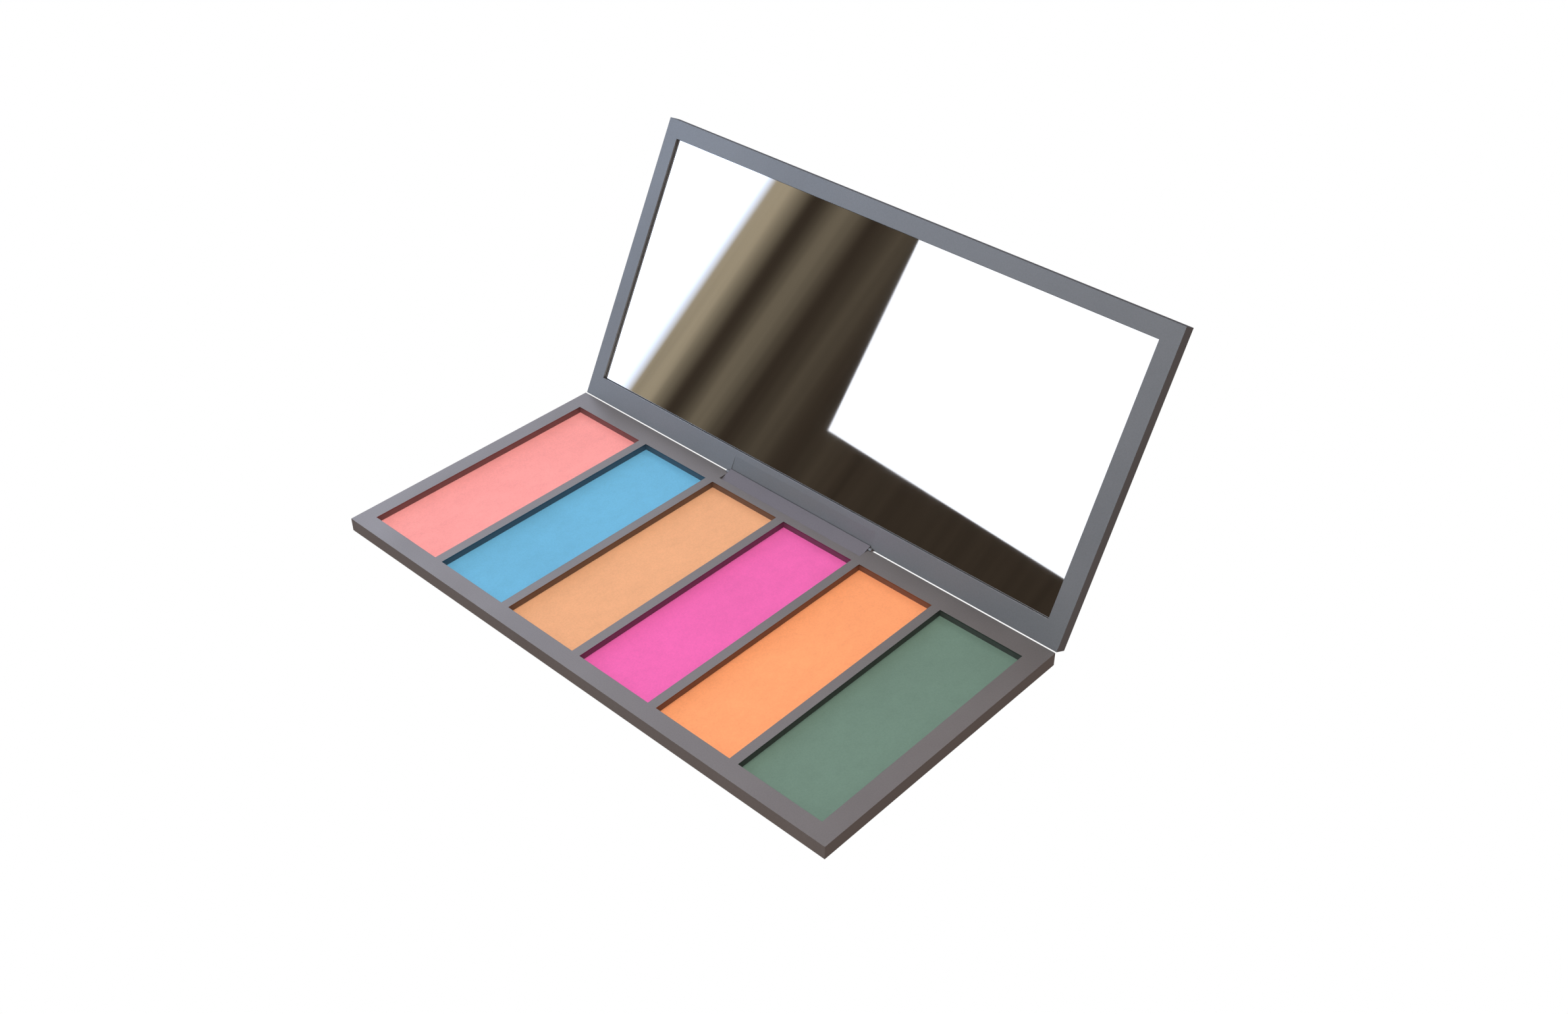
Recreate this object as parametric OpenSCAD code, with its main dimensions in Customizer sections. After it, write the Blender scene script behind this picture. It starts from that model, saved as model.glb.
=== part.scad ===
// Slim six-shade eyeshadow palette with a full-width mirror in the hinged lid.
// Origin: centre of the base's underside, where the case lies flat on a table.
// +X runs along the case to the user's right, +Y goes back to the hinge, +Z is up.
// Millimetres throughout. The lid is drawn closed and then swung open about the hinge axis.

/* [Case] */
// Length of the case along the hinge
case_w = 180; // [150:1:230]
// Depth of the case from front edge to hinge edge
case_d = 89; // [75:0.5:120]
// Thickness of the base half
base_t = 4.15; // [4:0.05:8]
// Thickness of the lid half
lid_t = 4.15; // [4:0.05:8]
// Gap between the two halves when the lid is shut
closed_gap = 0.1; // [0.05:0.05:0.5]
// How far the lid stands open, measured from shut
lid_open = 117.5; // [0:0.5:175]
// Thickness of the flush panel on the underside and on the lid's outside
panel_t = 0.6; // [0.4:0.05:1]
// Rim left around each flush panel
panel_rim = 1.2; // [1:0.1:3]
// Play around each flush panel
panel_play = 0.08; // [0.05:0.01:0.2]

/* [Wells] */
// Rim in front of the wells and at the lid's free edge
front_rim = 5.25; // [5:0.05:10]
// Rim between the wells and the hinge edge
rear_rim = 6.7; // [6.7:0.05:12]
// Rim left of the first well
left_rim = 4.75; // [3:0.05:12]
// Rim right of the last well
right_rim = 5.55; // [3:0.05:12]
// Width of each bar between two wells
bar_w = 2.83; // [2:0.01:5]
// How much wider the first and last wells are than the inner ones
end_well_extra = 1.42; // [0:0.01:4]
// Depth from the deck down to the powder
powder_drop = 2.05; // [1:0.05:2.5]
// Thickness of the deck's lip that hides each pan's edge
lip_t = 0.4; // [0.3:0.05:0.6]

/* [Pans] */
// Wall thickness of the pressed tin pans
pan_wall = 0.25; // [0.2:0.05:0.4]
// Side play between a pan and its pocket
pan_play = 0.12; // [0.05:0.01:0.3]
// Thickness of the glue pads under the pans
glue_t = 0.1; // [0.05:0.05:0.2]
// Diameter of one glue pad
glue_d = 12; // [6:1:18]

/* [Mirror] */
// Depth of the mirror's face below the lid's inner face
mirror_drop = 0.92; // [0.5:0.01:1.1]
// Thickness of the mirror glass
mirror_t = 1.1; // [0.9:0.1:1.3]
// Thickness of the mounting tape behind the mirror
tape_t = 0.15; // [0.1:0.05:0.3]
// Play around the mirror in its recess
mirror_play = 0.2; // [0.1:0.05:0.5]
// Margin from the mirror's edge to the tape
tape_margin = 4; // [2:0.5:12]

/* [Hinge] */
// Length of the hinge knuckle along the case
knuckle_w = 53.9; // [30:0.1:80]
// Side gap between the knuckle and the lid's ears
knuckle_play = 0.1; // [0.1:0.05:0.3]
// Depth of the notch in the rear edge that takes the knuckle
notch_d = 4; // [3.5:0.05:4.5]
// Distance of the hinge axis behind the rear edge
axis_back = 0.21; // [0.15:0.01:0.3]
// Distance of the hinge axis below the deck
axis_drop = 0.15; // [0.1:0.01:0.2]
// Radius of the knuckle's round back
knuckle_r = 1.05; // [0.98:0.01:1.2]
// Slope of the knuckle's flat top
ramp_angle = 18.4; // [17:0.1:20]
// Distance from the hinge axis to the flat top
ramp_rise = 0.7; // [0.65:0.01:0.72]
// Clearance between the knuckle and the groove in the lid's edge
groove_play = 0.05; // [0.04:0.01:0.1]
// Length of the shallow relief in the lid over the knuckle's slope, from the hinge axis
relief_l = 5.2; // [5:0.1:6]
// Slope of that relief
relief_angle = 2.7; // [2.7:0.1:4]
// Side gap between the knuckle and that relief
relief_play = 0.06; // [0.04:0.01:0.08]
// Width of each lid ear that holds a pin end
ear_w = 0.9; // [0.8:0.05:2]
// Radius of the ears around the pin
ear_r = 0.65; // [0.6:0.01:0.75]
// Radius of the hinge pin
pin_r = 0.4; // [0.35:0.01:0.42]
// Radial running clearance of the pin in the knuckle
pin_play = 0.03; // [0.01:0.01:0.08]

/* [Magnets] */
// Length of one closing magnet
magnet_l = 10; // [5:0.5:20]
// Width of one closing magnet
magnet_w = 3; // [2:0.1:3]
// Thickness of one closing magnet
magnet_t = 1.8; // [1.5:0.1:2]
// Distance of each magnet from the middle of the case
magnet_x = 66; // [30:1:68]
// Thickness of the face left over each magnet
magnet_skin = 0.5; // [0.4:0.05:0.8]
// Play around each magnet
magnet_play = 0.1; // [0.05:0.05:0.2]

/* [Hidden] */
$fn = 48;
well_count = 6;
// widths of the openings
well_span = case_w - left_rim - right_rim - (well_count - 1) * bar_w;
inner_well_w = (well_span - 2 * end_well_extra) / well_count;
end_well_w = inner_well_w + end_well_extra;
well_l = case_d - front_rim - rear_rim;
well_y = -case_d / 2 + front_rim;
// heights in the base
powder_top = base_t - powder_drop;
lip_gap = 0.02;
pan_z = panel_t + glue_t;
pan_top = base_t - lip_t - lip_gap;
powder_z = pan_z + pan_wall;
// heights in the shut lid
lid_z = base_t + closed_gap;
lid_top = lid_z + lid_t;
recess_l = case_w - left_rim - right_rim;
recess_x = -case_w / 2 + left_rim;
mirror_z = lid_z + mirror_drop;
tape_z = mirror_z + mirror_t;
recess_top = tape_z + tape_t;
// hinge
rear_y = case_d / 2;
axis_y = rear_y + axis_back;
axis_z = base_t - axis_drop;
notch_w = knuckle_w + 2 * knuckle_play;
groove_r = knuckle_r + groove_play;
ear_x = notch_w / 2;
flange_l = 1.6;
flange_t = 1.1;
flange_w = knuckle_w - 6;
// webs that tie the ears to the lid, measured from the hinge axis
web_front = 0.5;
web_back = 0.2;
web_h = 2;
// room for the ears in the base, around them and beside them
ear_room = 0.1;
ear_side_room = 0.15;
// gap left between glued or keyed pieces
fit_gap = 0.05;
// flush panels
notch_wall = 0.85;
magnet_wall = 0.25;
panel_rear_y = rear_y - notch_d - notch_wall;
magnet_y = -case_d / 2 + panel_rim + magnet_wall + magnet_w / 2;
// colours
case_grey = [0.44, 0.43, 0.46];
panel_grey = [0.36, 0.35, 0.37];
tin_grey = [0.62, 0.61, 0.60];
steel_grey = [0.70, 0.70, 0.72];
glue_white = [0.90, 0.90, 0.86];
silver_blue = [0.86, 0.89, 0.92];
shade_colours = [[1.00, 0.65, 0.64], [0.44, 0.74, 0.90], [0.94, 0.70, 0.52], [0.94, 0.41, 0.71],
  [1.00, 0.65, 0.44], [0.44, 0.57, 0.50]];

// width of well number i, counted from the left, starting at 0
function well_w(i) = (i == 0 || i == well_count - 1) ? end_well_w : inner_well_w;
// left edge of well number i
function well_x(i) = i == 0 ? -case_w / 2 + left_rim : well_x(i - 1) + well_w(i - 1) + bar_w;

// a block over well number i, wider than the well by grow on every side
module well_block(i, grow, z_low, z_high) {
  translate([well_x(i) - grow, well_y - grow, z_low])
    cube([well_w(i) + 2 * grow, well_l + 2 * grow, z_high - z_low]);
}

// a cylinder along the hinge axis between two places
module axis_rod(r, x_low, x_high) {
  translate([x_low, axis_y, axis_z])
    rotate([0, 90, 0])
      cylinder(r = r, h = x_high - x_low);
}

// swings its children from shut to the open position
module opened() {
  translate([0, axis_y, axis_z])
    rotate([-lid_open, 0, 0])
      translate([0, -axis_y, -axis_z])
        children();
}

// a pair of magnets or of their pockets, centred on the front rim
module magnet_pair(grow, z_low, z_high) {
  for (side = [-1, 1]) {
    translate([side * magnet_x - magnet_l / 2 - grow, magnet_y - magnet_w / 2 - grow, z_low])
      cube([magnet_l + 2 * grow, magnet_w + 2 * grow, z_high - z_low]);
  }
}

// the flange that keys the hinge knuckle into the base, or its slot
module flange_block(grow) {
  translate([-flange_w / 2 - grow, rear_y - notch_d - flange_l - grow, panel_t])
    cube([flange_w + 2 * grow, flange_l + 0.5 + grow, flange_t + grow]);
}

// one-piece deck and side walls of the base, with six wells and the hinge notch
module base_body() {
  color(case_grey)
    difference() {
      translate([-case_w / 2, -case_d / 2, 0])
        cube([case_w, case_d, base_t]);
      for (i = [0 : well_count - 1]) {
        well_block(i, 0, base_t - lip_t - 0.1, base_t + 1);
        well_block(i, pan_wall + pan_play, panel_t - 0.1, base_t - lip_t);
      }
      // recess for the flush panel underneath
      translate([-case_w / 2 + panel_rim, -case_d / 2 + panel_rim, -1])
        cube([case_w - 2 * panel_rim, panel_rear_y + case_d / 2 - panel_rim, panel_t + 1]);
      magnet_pair(magnet_play, panel_t - 0.1, base_t - magnet_skin);
      // notch for the hinge knuckle
      translate([-notch_w / 2, rear_y - notch_d, -1])
        cube([notch_w, notch_d + 1, base_t + 2]);
      flange_block(fit_gap);
      // room for the lid's ears
      axis_rod(ear_r + ear_room, -ear_x - ear_w - ear_side_room, ear_x + ear_w + ear_side_room);
    }
}

// flush panel that closes the underside and carries the pans
module base_bottom_plate() {
  color(panel_grey)
    translate([-case_w / 2 + panel_rim + panel_play, -case_d / 2 + panel_rim + panel_play, 0])
      cube([case_w - 2 * (panel_rim + panel_play),
        panel_rear_y + case_d / 2 - panel_rim - 2 * panel_play, panel_t]);
}

// long knuckle fixed in the notch: round back on the hinge axis, flat sloping top
module hinge_knuckle() {
  color(case_grey)
    difference() {
      union() {
        translate([-knuckle_w / 2, rear_y - notch_d + fit_gap, 0])
          cube([knuckle_w, notch_d - fit_gap, base_t + 1]);
        axis_rod(knuckle_r, -knuckle_w / 2, knuckle_w / 2);
        flange_block(0);
      }
      // flat top, rising towards the back
      translate([0, axis_y, axis_z])
        rotate([ramp_angle, 0, 0])
          translate([-knuckle_w / 2 - 1, -15, ramp_rise])
            cube([knuckle_w + 2, 30, 10]);
      axis_rod(pin_r + pin_play, -knuckle_w / 2 - 1, knuckle_w / 2 + 1);
    }
}

// block magnets in the base's front rim
module base_magnets() {
  color(steel_grey)
    magnet_pair(0, base_t - magnet_skin - magnet_t - fit_gap, base_t - magnet_skin - fit_gap);
}

// pressed tin pan, its edge tucked under the deck's lip
module pan(i) {
  color(tin_grey)
    difference() {
      well_block(i, pan_wall, pan_z, pan_top);
      well_block(i, 0, powder_z, pan_top + 1);
    }
}

// three glue pads under each pan
module pan_glue_pads() {
  color(glue_white)
    for (i = [0 : well_count - 1], k = [-1 : 1]) {
      translate([well_x(i) + well_w(i) / 2, well_y + well_l / 2 + k * well_l / 3.2, panel_t])
        cylinder(d = glue_d, h = glue_t);
    }
}

// pressed powder cake
module powder(i) {
  color(shade_colours[i])
    well_block(i, 0, powder_z, powder_top);
}

// one-piece lid tray with mirror recess, cover recess, hinge groove and ears
module lid_body() {
  color(case_grey)
    opened() {
      difference() {
        union() {
          difference() {
            translate([-case_w / 2, -case_d / 2, lid_z])
              cube([case_w, case_d, lid_t]);
            translate([recess_x, well_y, lid_z - 1])
              cube([recess_l, well_l, recess_top - lid_z + 1]);
            translate([-case_w / 2 + panel_rim, -case_d / 2 + panel_rim, lid_top - panel_t])
              cube([case_w - 2 * panel_rim, case_d - 2 * panel_rim, panel_t + 1]);
            magnet_pair(magnet_play, lid_z + magnet_skin, lid_top - panel_t + 0.1);
            // groove that clears the hinge knuckle
            axis_rod(groove_r, -notch_w / 2, notch_w / 2);
            // shallow relief that clears the knuckle's slope when shut
            translate([-knuckle_w / 2 - relief_play, axis_y - relief_l, lid_z])
              rotate([relief_angle, 0, 0])
                translate([0, 0, -1])
                  cube([knuckle_w + 2 * relief_play, relief_l - groove_r / 2, 1]);
          }
          // ears that carry the pin
          for (side = [-1, 1]) {
            axis_rod(ear_r, side * (ear_x + ear_w / 2) - ear_w / 2, side * (ear_x + ear_w / 2) + ear_w / 2);
            translate([side * (ear_x + ear_w / 2) - ear_w / 2, axis_y - web_front, axis_z])
              cube([ear_w, web_front + web_back, web_h]);
          }
        }
        axis_rod(pin_r, -ear_x - ear_w - 1, ear_x + ear_w + 1);
      }
    }
}

// flush cover on the outside of the lid
module lid_cover_plate() {
  color(panel_grey)
    opened()
      translate([-case_w / 2 + panel_rim + panel_play, -case_d / 2 + panel_rim + panel_play,
        lid_top - panel_t])
        cube([case_w - 2 * (panel_rim + panel_play), case_d - 2 * (panel_rim + panel_play), panel_t]);
}

// silvered glass that fills the lid's recess
module mirror_glass() {
  color(silver_blue)
    opened()
      translate([recess_x + mirror_play, well_y + mirror_play, mirror_z])
        cube([recess_l - 2 * mirror_play, well_l - 2 * mirror_play, mirror_t]);
}

// foam tape that holds the mirror
module mirror_tape() {
  color(glue_white)
    opened()
      translate([recess_x + tape_margin, well_y + tape_margin, tape_z])
        cube([recess_l - 2 * tape_margin, well_l - 2 * tape_margin, tape_t]);
}

// block magnets in the lid's free edge, above those in the base
module lid_magnets() {
  color(steel_grey)
    opened()
      magnet_pair(0, lid_z + magnet_skin + fit_gap, lid_z + magnet_skin + magnet_t + fit_gap);
}

// steel pin, pressed into the lid's ears and turning in the knuckle
module hinge_pin() {
  color(steel_grey)
    opened()
      axis_rod(pin_r, -ear_x - ear_w + fit_gap, ear_x + ear_w - fit_gap);
}

base_body();
base_bottom_plate();
hinge_knuckle();
base_magnets();
pan(0);  // pan_1
pan(1);  // pan_2
pan(2);  // pan_3
pan(3);  // pan_4
pan(4);  // pan_5
pan(5);  // pan_6
pan_glue_pads();
powder(0);  // powder_1
powder(1);  // powder_2
powder(2);  // powder_3
powder(3);  // powder_4
powder(4);  // powder_5
powder(5);  // powder_6
lid_body();
lid_cover_plate();
mirror_glass();
mirror_tape();
lid_magnets();
hinge_pin();
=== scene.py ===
import math

import bpy
from mathutils import Matrix, Vector

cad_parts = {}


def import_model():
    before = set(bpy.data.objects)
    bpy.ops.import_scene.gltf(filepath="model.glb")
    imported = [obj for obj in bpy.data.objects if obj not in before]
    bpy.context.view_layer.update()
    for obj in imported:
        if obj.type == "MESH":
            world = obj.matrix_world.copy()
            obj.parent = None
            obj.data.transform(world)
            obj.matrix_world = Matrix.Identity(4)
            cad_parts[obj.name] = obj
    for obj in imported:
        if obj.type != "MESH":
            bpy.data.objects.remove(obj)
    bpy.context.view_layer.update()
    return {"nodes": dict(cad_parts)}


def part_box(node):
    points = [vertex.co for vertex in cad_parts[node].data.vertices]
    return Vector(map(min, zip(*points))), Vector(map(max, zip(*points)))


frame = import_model()

# ---------------------------------------------------------------- sizes, read from the frame
base_low, base_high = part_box("base_body")
CASE_W = base_high.x - base_low.x
DECK_Z = base_high.z
DECK_MID = Vector(((base_low.x + base_high.x) / 2, (base_low.y + base_high.y) / 2, DECK_Z))
SHADES = ("powder_1", "powder_2", "powder_3", "powder_4", "powder_5", "powder_6")
PANS = ("pan_1", "pan_2", "pan_3", "pan_4", "pan_5", "pan_6")

# pressed powder colours in even light, left to right
SHADE_COLOURS = {
    "powder_1": (255, 163, 161),
    "powder_2": (109, 182, 220),
    "powder_3": (236, 174, 130),
    "powder_4": (240, 104, 180),
    "powder_5": (255, 164, 111),
    "powder_6": (108, 134, 120),
}
# how dark the upright well walls are painted beside the pressed face: partly their powder dust, partly
# painted shade for the recess they lie in
WALL_DUST_AND_SHADE = 0.2
# edge radii of the two trays and of their cover plates
TRAY_EDGE = 0.00003
PLATE_EDGE = 0.00008
# how far the powder dust and painted shade reach past the pans, and how softly they stop there
DUST_AND_SHADE_REACH = 0.0012
DUST_AND_SHADE_FADE = 0.0001
# depths below the deck between which the powder dust and painted shade set in
DUST_AND_SHADE_FULL = 0.00010
DUST_AND_SHADE_NONE = 0.00004


def linear(rgb):
    """Scene-linear colour of an 8-bit display colour."""
    out = []
    for c in rgb:
        c = c / 255
        out.append(c / 12.92 if c <= 0.04045 else ((c + 0.055) / 1.055) ** 2.4)
    return (*out, 1.0)


# ---------------------------------------------------------------- material helpers
def mix_colours(tree, factor, a, b, mode="MIX"):
    """A colour mix node; factor, a and b are each a socket or a plain value."""
    mix = tree.nodes.new("ShaderNodeMix")
    mix.data_type = "RGBA"
    mix.blend_type = mode
    for name, value in (("Factor", factor), ("A", a), ("B", b)):
        if isinstance(value, bpy.types.NodeSocket):
            tree.links.new(value, mix.inputs[name])
        else:
            mix.inputs[name].default_value = value
    return mix.outputs["Result"]


class Nodes:
    """A short way to write a node tree."""

    def __init__(self, name):
        self.mat = bpy.data.materials.new(name)
        self.mat.use_nodes = True
        self.tree = self.mat.node_tree
        self.tree.nodes.clear()
        self.out = self.tree.nodes.new("ShaderNodeOutputMaterial")
        self.bsdf = self.tree.nodes.new("ShaderNodeBsdfPrincipled")
        self.tree.links.new(self.bsdf.outputs[0], self.out.inputs["Surface"])
        self.coords = self.tree.nodes.new("ShaderNodeTexCoord").outputs["Object"]

    def link(self, a, b):
        self.tree.links.new(a, b)

    def noise(self, scale, detail=4.0, rough=0.55, stretch=None, distortion=0.0):
        source = self.coords
        if stretch:
            mapping = self.tree.nodes.new("ShaderNodeMapping")
            mapping.inputs["Scale"].default_value = stretch
            self.link(self.coords, mapping.inputs["Vector"])
            source = mapping.outputs["Vector"]
        n = self.tree.nodes.new("ShaderNodeTexNoise")
        n.inputs["Scale"].default_value = scale
        n.inputs["Detail"].default_value = detail
        n.inputs["Roughness"].default_value = rough
        n.inputs["Distortion"].default_value = distortion
        self.link(source, n.inputs["Vector"])
        return n.outputs["Fac"]

    def ramp(self, value, stops):
        r = self.tree.nodes.new("ShaderNodeValToRGB")
        while len(r.color_ramp.elements) < len(stops):
            r.color_ramp.elements.new(0.5)
        for e, (pos, colour) in zip(r.color_ramp.elements, stops):
            e.position = pos
            e.color = colour
        self.link(value, r.inputs["Fac"])
        return r.outputs["Color"]

    def speckle(self, colour, value, dark):
        """The colour with fine darker grains in it."""
        grains = self.ramp(value, [(0.3, (dark, dark, dark, 1)), (0.6, (1, 1, 1, 1))])
        return mix_colours(self.tree, 1.0, colour, grains, "MULTIPLY")

    def remap(self, value, low, high, a, b):
        m = self.tree.nodes.new("ShaderNodeMapRange")
        m.inputs["From Min"].default_value = low
        m.inputs["From Max"].default_value = high
        m.inputs["To Min"].default_value = a
        m.inputs["To Max"].default_value = b
        self.link(value, m.inputs["Value"])
        return m.outputs["Result"]

    def bump(self, height, strength, distance, before=None):
        b = self.tree.nodes.new("ShaderNodeBump")
        b.inputs["Strength"].default_value = strength
        b.inputs["Distance"].default_value = distance
        self.link(height, b.inputs["Height"])
        if before is not None:
            self.link(before, b.inputs["Normal"])
        return b.outputs["Normal"]

    def times(self, a, b):
        m = self.tree.nodes.new("ShaderNodeMath")
        m.operation = "MULTIPLY"
        self.link(a, m.inputs[0])
        self.link(b, m.inputs[1])
        return m.outputs[0]

    def set(self, **values):
        """Constant shader inputs; an underscore in a keyword stands for a space."""
        for k, v in values.items():
            self.bsdf.inputs[k.replace("_", " ")].default_value = v


def shade(colour, k):
    """The colour made lighter or darker by the factor k."""
    return (*[min(1.0, c * k) for c in colour[:3]], 1.0)


def dusty_and_shaded(colour, k):
    """Loose powder on a wall with painted shade: the colour greyed for the dust, then darkened by the
    factor k for the shade the wall lies in.
    """
    return shade([c * 0.7 + 0.1 for c in colour[:3]], k)


# ---------------------------------------------------------------- materials
def case_material(name, colour, roughness=0.42, dust_and_shade=False):
    """Satin metallic coating: faint cloudy colour, tiny sprayed grain."""
    n = Nodes(name)
    n.set(Metallic=0.65)
    cloud = n.noise(22, 3)
    colour_out = n.ramp(cloud, [(0.3, shade(colour, 0.95)), (0.7, shade(colour, 1.05))])
    colour_out = n.speckle(colour_out, n.noise(2400, 4, 0.75), 0.9)
    if dust_and_shade:
        # painted shade with powder dust on the upright edges of the wells
        colour_out = well_dust_and_shade(n, colour_out)
    n.link(colour_out, n.bsdf.inputs["Base Color"])
    polish = n.remap(n.noise(60, 4), 0.3, 0.7, roughness - 0.03, roughness + 0.04)
    n.link(polish, n.bsdf.inputs["Roughness"])
    grain = n.bump(n.noise(3600, 2), 0.02, 0.00003)
    wave = n.bump(n.noise(90, 2), 0.05, 0.0002, grain)
    n.link(wave, n.bsdf.inputs["Normal"])
    return n.mat


def well_dust_and_shade(n, clean):
    """Each well's upright edge below the deck, tinted by its own powder dust and darkened as painted
    shade.
    """
    split = n.tree.nodes.new("ShaderNodeSeparateXYZ")
    n.link(n.coords, split.inputs[0])
    low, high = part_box(PANS[0])[0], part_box(PANS[-1])[1]
    tints = [dusty_and_shaded(linear(SHADE_COLOURS[powder]), WALL_DUST_AND_SHADE) for powder in SHADES]
    stops = [(0.0, tints[0])]
    for i in range(1, len(PANS)):
        between = (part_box(PANS[i - 1])[1].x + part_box(PANS[i])[0].x) / 2
        stops.append(((between - low.x) / (high.x - low.x), tints[i]))
    tint = n.ramp(n.remap(split.outputs["X"], low.x, high.x, 0.0, 1.0), stops)
    tint.node.color_ramp.interpolation = "CONSTANT"
    mask = n.remap(split.outputs["Z"], DECK_Z - DUST_AND_SHADE_FULL, DECK_Z - DUST_AND_SHADE_NONE, 1.0, 0.0)
    for axis, a, b in (("X", low.x, high.x), ("Y", low.y, high.y)):
        for edge, before, after in ((a - DUST_AND_SHADE_REACH, 0.0, 1.0), (b + DUST_AND_SHADE_REACH, 1.0, 0.0)):
            step = n.remap(split.outputs[axis], edge - DUST_AND_SHADE_FADE, edge + DUST_AND_SHADE_FADE, before, after)
            mask = n.times(mask, step)
    return mix_colours(n.tree, mask, clean, tint)


def powder_material(name, colour):
    """Pressed powder: soft mottling, faint press streaks, fine grain."""
    n = Nodes(name)
    cloud = n.noise(38, 5, 0.6, distortion=0.6)
    base = n.ramp(cloud, [(0.32, shade(colour, 0.965)), (0.5, colour), (0.68, shade(colour, 1.03))])
    base = n.speckle(base, n.noise(230, 5, 0.7, stretch=(1.3, 0.8, 1.0)), 0.94)
    n.link(n.speckle(base, n.noise(2200, 4, 0.75), 0.9), n.bsdf.inputs["Base Color"])
    n.link(n.remap(cloud, 0.3, 0.7, 0.74, 0.86), n.bsdf.inputs["Roughness"])
    n.set(Specular_IOR_Level=0.25)
    grain = n.bump(n.noise(3400, 4, 0.7), 0.22, 0.00006)
    press = n.bump(n.noise(55, 3, 0.5, stretch=(1.0, 0.35, 1.0)), 0.10, 0.0004, grain)
    n.link(press, n.bsdf.inputs["Normal"])
    return n.mat


def pan_material(name, colour):
    """Thin tin pan, its walls dusted with the powder pressed into it and darkened as painted shade of the
    wells.
    """
    n = Nodes(name)
    dust_and_shade = n.noise(420, 5, 0.65)
    tint = n.ramp(dust_and_shade, [(0.3, dusty_and_shaded(colour, WALL_DUST_AND_SHADE * 0.85)), (0.7, dusty_and_shaded(colour, WALL_DUST_AND_SHADE * 1.15))])
    n.link(tint, n.bsdf.inputs["Base Color"])
    n.link(n.remap(dust_and_shade, 0.3, 0.7, 0.55, 0.75), n.bsdf.inputs["Roughness"])
    n.set(Specular_IOR_Level=0.7)
    n.link(n.bump(n.noise(1500, 3), 0.2, 0.00005), n.bsdf.inputs["Normal"])
    return n.mat


def mirror_material():
    """Silvered glass: a clean mirror with the faintest variation of polish."""
    n = Nodes("mirror_silver")
    n.set(Metallic=1.0)
    haze = n.noise(30, 3)
    silver = n.ramp(haze, [(0.3, (0.93, 0.935, 0.94, 1)), (0.7, (0.96, 0.96, 0.96, 1))])
    n.link(silver, n.bsdf.inputs["Base Color"])
    n.link(n.remap(haze, 0.3, 0.7, 0.012, 0.022), n.bsdf.inputs["Roughness"])
    return n.mat


def metal_material(name, colour, roughness):
    """Plated or ground steel with fine lines along it."""
    n = Nodes(name)
    n.set(Metallic=1.0)
    lines = n.noise(900, 3, 0.6, stretch=(0.1, 1, 1))
    plating = n.ramp(lines, [(0.3, shade(colour, 0.85)), (0.7, shade(colour, 1.1))])
    n.link(plating, n.bsdf.inputs["Base Color"])
    n.link(n.remap(lines, 0.3, 0.7, roughness - 0.05, roughness + 0.08), n.bsdf.inputs["Roughness"])
    n.link(n.bump(lines, 0.15, 0.00004), n.bsdf.inputs["Normal"])
    return n.mat


def soft_material(name, colour):
    """Foam tape or glue: dull, slightly pitted."""
    n = Nodes(name)
    cells = n.noise(1800, 4, 0.6)
    body = n.ramp(cells, [(0.3, shade(colour, 0.85)), (0.7, colour)])
    n.link(body, n.bsdf.inputs["Base Color"])
    n.link(n.remap(cells, 0.3, 0.7, 0.75, 0.95), n.bsdf.inputs["Roughness"])
    n.link(n.bump(cells, 0.3, 0.00008), n.bsdf.inputs["Normal"])
    return n.mat


def paint(node, material):
    mesh = frame["nodes"][node].data
    mesh.materials.clear()
    mesh.materials.append(material)


def soften(node, width, segments=2):
    """The tiny radius that every moulded edge has."""
    m = frame["nodes"][node].modifiers.new("edge", "BEVEL")
    m.width = width
    m.segments = segments
    m.limit_method = "ANGLE"
    m.angle_limit = math.radians(40)
    m.use_clamp_overlap = True
    m.harden_normals = False


def dress_case():
    paint("base_body", case_material("case_satin_dust_and_shade", linear((134, 130, 128)), dust_and_shade=True))
    # one satin coating: the knuckle darkened as painted shade of its hollow, the lid tinted cooler as
    # painted cool light on its face
    paint("hinge_knuckle", case_material("knuckle_satin_shaded", linear((116, 113, 118)), 0.5))
    paint("lid_body", case_material("lid_satin_cool_lit", linear((124, 127, 130))))
    for node in ("base_body", "hinge_knuckle", "lid_body"):
        soften(node, TRAY_EDGE, 1)
    panel = case_material("panel_satin", linear((104, 103, 106)), 0.5)
    for node in ("base_bottom_plate", "lid_cover_plate"):
        paint(node, panel)
        soften(node, PLATE_EDGE)


def dress_shades():
    for pan, powder in zip(PANS, SHADES):
        colour = linear(SHADE_COLOURS[powder])
        paint(powder, powder_material(powder + "_pressed", colour))
        paint(pan, pan_material(pan + "_dust_and_shade", colour))


def dress_small_parts():
    paint("mirror_glass", mirror_material())
    paint("mirror_tape", soft_material("tape_foam", linear((226, 226, 220))))
    paint("pan_glue_pads", soft_material("glue_soft", linear((232, 230, 216))))
    plated = metal_material("magnet_nickel", linear((190, 190, 192)), 0.25)
    paint("base_magnets", plated)
    paint("lid_magnets", plated)
    paint("hinge_pin", metal_material("pin_steel", linear((176, 176, 178)), 0.3))


# ---------------------------------------------------------------- stage, lights, camera
def bearing(azimuth, elevation):
    """Unit vector: azimuth from +Y towards +X, elevation up from the floor, degrees."""
    a, e = math.radians(azimuth), math.radians(elevation)
    return Vector((math.sin(a) * math.cos(e), math.cos(a) * math.cos(e), math.sin(e)))


def stage_object(name, corners, material):
    """One flat polygon of the surroundings, not part of the model."""
    mesh = bpy.data.meshes.new(name)
    mesh.from_pydata([tuple(c) for c in corners], [], [tuple(range(len(corners)))])
    mesh.materials.append(material)
    o = bpy.data.objects.new(name, mesh)
    bpy.context.scene.collection.objects.link(o)
    return o


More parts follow.
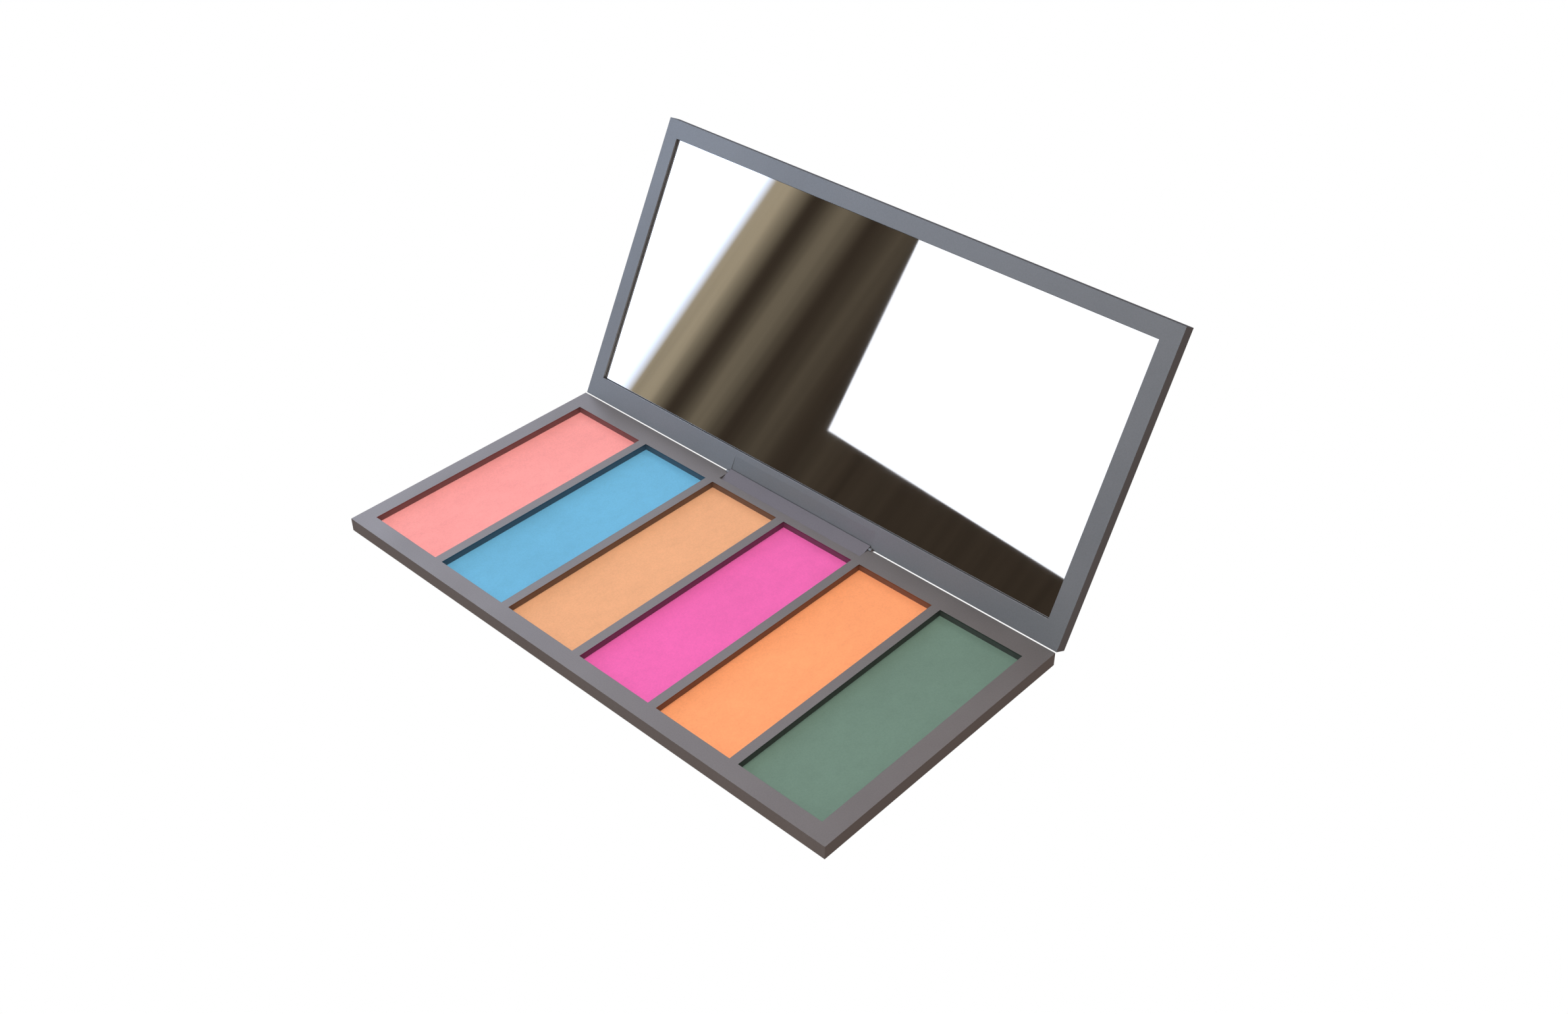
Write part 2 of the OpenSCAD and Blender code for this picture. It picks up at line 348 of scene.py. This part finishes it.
def glow_material(name, colour, strength):
    m = bpy.data.materials.new(name)
    m.use_nodes = True
    t = m.node_tree
    t.nodes.clear()
    e = t.nodes.new("ShaderNodeEmission")
    e.inputs["Color"].default_value = colour
    e.inputs["Strength"].default_value = strength
    t.links.new(e.outputs[0], t.nodes.new("ShaderNodeOutputMaterial").inputs["Surface"])
    return m


def rectangle(left, bottom, right, top):
    """Corners of a rectangle, anticlockwise from the lower left."""
    return [(left, bottom), (right, bottom), (right, top), (left, top)]


def hide_from_camera(card):
    """The card is left to the mirror and the gloss."""
    card.visible_camera = False
    card.visible_diffuse = False


FLOOR_REACH = 30
FLOOR_DROP = 0.0002


def floor():
    """A plain white sweep that takes no part in the lighting."""
    corners = rectangle(-FLOOR_REACH, -FLOOR_REACH, FLOOR_REACH, FLOOR_REACH)
    white = glow_material("floor_white", (1, 1, 1, 1), 1.0)
    o = stage_object("floor", [(x, y, 0) for x, y in corners], white)
    o.location.z = -FLOOR_DROP
    o.visible_diffuse = False
    o.visible_glossy = False
    o.visible_shadow = False


def area(name, azimuth, elevation, distance, size, power, colour, aim=DECK_MID):
    light = bpy.data.lights.new(name, "AREA")
    light.shape = "RECTANGLE"
    light.size, light.size_y = size
    light.energy = power
    light.color = colour
    o = bpy.data.objects.new(name, light)
    o.location = Vector(aim) + distance * bearing(azimuth, elevation)
    o.rotation_euler = (Vector(aim) - o.location).to_track_quat("-Z", "Y").to_euler()
    bpy.context.scene.collection.objects.link(o)
    return o


# the wall the mirror looks at: its own axes, along the wall and up it
WALL_MID = Vector((-0.627, -0.915, 0.308))
WALL_ALONG = Vector((0.839, -0.545, 0.0))
WALL_UP = Vector((0.123, 0.189, 0.974))
WALL_LEFT = -0.8
WALL_RIGHT = 0.75
WALL_TOP = 0.6
CURTAIN_FOOT = -0.17
WAINSCOT_FOOT = -0.6
# how far the cloth leans along the wall for each metre up
CURTAIN_LEAN = 0.04
# the window: its lower corners, its slanted left side, and how far it stands off the wall
WINDOW = ((-0.012, -0.062), (0.31, -0.051), (0.31, WALL_TOP), (-0.112, WALL_TOP))
WINDOW_LIFT = 0.004


def on_wall(along, up, lift=0.0):
    """A point of the wall, brought towards the mirror by lift."""
    return WALL_MID + along * WALL_ALONG + up * WALL_UP - lift * WALL_ALONG.cross(WALL_UP)


# the curtain: even soft folds of one cloth, dimmer further from the daylight at their left
DAYLIGHT_END = -0.21
CLOTH_START = -0.192
FOLD_FIRST = -0.18
FOLD_WIDTH = 0.06
FOLD_COUNT = 7
CURTAIN_END = 0.27
CLOTH_LIT = (150, 138, 116)
CLOTH_SHADE = (50, 42, 34)
FOLD_FADE = 0.35


def fold_stops():
    """Places along the wall and colours: each fold's crest and the hollow after it."""
    lit, dark = linear(CLOTH_LIT), linear(CLOTH_SHADE)
    stops = []
    for fold in range(FOLD_COUNT):
        light = FOLD_FADE ** fold
        crest = [low + light * (high - low) for high, low in zip(lit, dark)]
        at = FOLD_FIRST + fold * FOLD_WIDTH
        stops += [(at, crest), (at + FOLD_WIDTH / 2, dark)]
    return stops


def curtain_material():
    """Long soft folds of one cloth, with bright daylight to their left."""
    n = Nodes("curtain_folds")
    n.tree.nodes.remove(n.bsdf)
    split = n.tree.nodes.new("ShaderNodeSeparateXYZ")
    n.link(n.coords, split.inputs[0])
    width = CURTAIN_END - FOLD_FIRST
    place = n.remap(split.outputs["X"], FOLD_FIRST, CURTAIN_END, 0.0, 1.0)
    cloth = n.ramp(place, [((at - FOLD_FIRST) / width, colour) for at, colour in fold_stops()])
    cloth.node.color_ramp.interpolation = "EASE"
    streaks = n.remap(n.noise(1.0, 2.0, stretch=(75, 2.0, 1)), 0.3, 0.7, 0.9, 1.2)
    in_folds = n.remap(split.outputs["X"], DAYLIGHT_END, CLOTH_START, 0.0, 1.0)
    glow = n.tree.nodes.new("ShaderNodeEmission")
    n.link(mix_colours(n.tree, in_folds, (1.6, 1.85, 2.35, 1), cloth), glow.inputs["Color"])
    n.link(streaks, glow.inputs["Strength"])
    n.link(glow.outputs[0], n.out.inputs["Surface"])
    return n.mat


def curtain():
    """The curtained wall, in its own axes so that the folds run straight down the leaning cloth."""
    corners = rectangle(WALL_LEFT, CURTAIN_FOOT, WALL_RIGHT, WALL_TOP)
    card = stage_object("curtain", [(x - CURTAIN_LEAN * y, y, 0) for x, y in corners], curtain_material())
    axes = (WALL_ALONG, WALL_UP + CURTAIN_LEAN * WALL_ALONG, WALL_ALONG.cross(WALL_UP))
    card.matrix_world = Matrix.Translation(WALL_MID) @ Matrix(axes).transposed().to_4x4()
    hide_from_camera(card)


def wall_seen_in_mirror():
    """A curtained wall, a bright window before it and a plain wainscot that the lid's foot picks up."""
    curtain()
    bright = glow_material("window_bright", (0.95, 0.97, 1.02, 1), 1.17)
    hide_from_camera(stage_object("window", [on_wall(x, y, WINDOW_LIFT) for x, y in WINDOW], bright))
    plain = glow_material("wainscot_plain", (0.92, 1.0, 1.13, 1), 1.0)
    corners = rectangle(WALL_LEFT, WAINSCOT_FOOT, WALL_RIGHT, CURTAIN_FOOT)
    hide_from_camera(stage_object("wainscot", [on_wall(x, y) for x, y in corners], plain))


# a warm far wall that the mirror throws onto the left side of its own recess
WARM_WALL_HALF_W = 0.7
WARM_WALL_HALF_H = 0.35
WARM_WALL_DISTANCE = 1.5


def warm_wall():
    corners = rectangle(-WARM_WALL_HALF_W, -WARM_WALL_HALF_H, WARM_WALL_HALF_W, WARM_WALL_HALF_H)
    glow = glow_material("warm_wall", (1.0, 0.92, 0.78, 1), 3.5)
    card = stage_object("warm_wall", [(x, y, 0) for x, y in corners], glow)
    card.location = DECK_MID + WARM_WALL_DISTANCE * bearing(145, -8)
    card.rotation_euler = (DECK_MID - card.location).to_track_quat("Z", "Y").to_euler()
    hide_from_camera(card)


def world():
    """Cool light from the front left, warm and dim on the right and below."""
    w = bpy.data.worlds.new("studio")
    w.use_nodes = True
    t = w.node_tree
    back = t.nodes["Background"]
    coords = t.nodes.new("ShaderNodeTexCoord")

    def along(direction):
        n = t.nodes.new("ShaderNodeVectorMath")
        n.operation = "DOT_PRODUCT"
        n.inputs[1].default_value = direction
        t.links.new(coords.outputs["Generated"], n.inputs[0])
        return n.outputs["Value"]

    def ramp(value, stops):
        m = t.nodes.new("ShaderNodeMapRange")
        m.inputs["From Min"].default_value = -1
        m.inputs["From Max"].default_value = 1
        t.links.new(value, m.inputs["Value"])
        r = t.nodes.new("ShaderNodeValToRGB")
        while len(r.color_ramp.elements) < len(stops):
            r.color_ramp.elements.new(0.5)
        for e, (pos, colour) in zip(r.color_ramp.elements, stops):
            e.position = (pos + 1) / 2
            e.color = (*colour, 1)
        t.links.new(m.outputs["Result"], r.inputs["Fac"])
        return r.outputs["Color"]

    height = along((0, 0, 1))
    side = along(bearing(150, 0))
    # what the gloss and the mirror see: the sky, dimmed overhead and at the sides
    sky = ramp(
        along(bearing(-97, -18)),
        [(0.115, (0.10, 0.048, 0.035)), (0.46, (0.84, 0.93, 1.145)), (0.66, (1.10, 1.22, 1.52))],
    )
    overhead = ramp(height, [(0.66, (1, 1, 1)), (0.90, (0.4, 0.4, 0.41))])
    beside = ramp(
        side,
        [(-0.95, (0.08, 0.08, 0.08)), (-0.78, (1, 1, 1)), (0.28, (1, 1, 1)), (0.53, (0.62, 0.61, 0.60))],
    )
    for factor in (overhead, beside):
        sky = mix_colours(t, 1.0, sky, factor, "MULTIPLY")
    ground_side = ramp(
        side,
        [(-0.9, (0.02, 0.015, 0.013)), (-0.35, (0.117, 0.087, 0.076)), (0.25, (0.142, 0.107, 0.094))],
    )
    ground_below = ramp(height, [(-0.5, (0.117, 0.090, 0.081)), (-0.2, (0, 0, 0))])
    ground = mix_colours(t, 1.0, ground_side, ground_below, "LIGHTEN")
    horizon = ramp(height, [(-0.30, (0, 0, 0)), (-0.08, (1, 1, 1))])
    t.links.new(mix_colours(t, horizon, ground, sky), back.inputs["Color"])
    back.inputs["Strength"].default_value = 2.3
    # what the matt surfaces gather: a soft even room
    room = t.nodes.new("ShaderNodeBackground")
    even = ramp(height, [(-0.3, (0.31, 0.26, 0.24)), (0.3, (0.38, 0.37, 0.365))])
    t.links.new(even, room.inputs["Color"])
    path = t.nodes.new("ShaderNodeLightPath")
    # what the camera sees past the floor: plain white
    white = t.nodes.new("ShaderNodeBackground")
    white.inputs["Color"].default_value = (1, 1, 1, 1)
    shown = back
    for ray, other in (("Is Diffuse Ray", room), ("Is Camera Ray", white)):
        choose = t.nodes.new("ShaderNodeMixShader")
        t.links.new(path.outputs[ray], choose.inputs[0])
        t.links.new(shown.outputs[0], choose.inputs[1])
        t.links.new(other.outputs[0], choose.inputs[2])
        shown = choose
    t.links.new(shown.outputs[0], t.nodes["World Output"].inputs["Surface"])
    bpy.context.scene.world = w


# the camera, fitted to the photograph: case lengths from the middle of the deck, degrees, millimetres
CAMERA_PLACE = Vector((1.4375, -1.3358, 1.6165))
CAMERA_DOWN = 37.0
CAMERA_TURN = 42.786
CAMERA_LENS = 38.758


def camera():
    """Seen from front right and above."""
    cam = bpy.data.cameras.new("camera")
    cam.sensor_fit = "HORIZONTAL"
    cam.sensor_width = 36.0
    cam.lens = CAMERA_LENS
    cam.clip_start = 0.01
    cam.clip_end = 100
    o = bpy.data.objects.new("camera", cam)
    o.location = DECK_MID + CASE_W * CAMERA_PLACE
    o.rotation_euler = (math.radians(90 - CAMERA_DOWN), 0, math.radians(CAMERA_TURN))
    bpy.context.scene.collection.objects.link(o)
    bpy.context.scene.camera = o


def studio():
    floor()
    world()
    wall_seen_in_mirror()
    area("key", 165, 68, 1.0, (0.75, 0.75), 7.1, (1.0, 0.955, 0.90))
    behind = area("behind", 10, 42, 1.2, (0.8, 0.5), 1.6, (0.97, 0.98, 1.0))
    behind.visible_glossy = False
    warm_wall()


dress_case()
dress_shades()
dress_small_parts()
camera()
studio()
bpy.context.scene.view_settings.view_transform = "Standard"
bpy.context.view_layer.update()
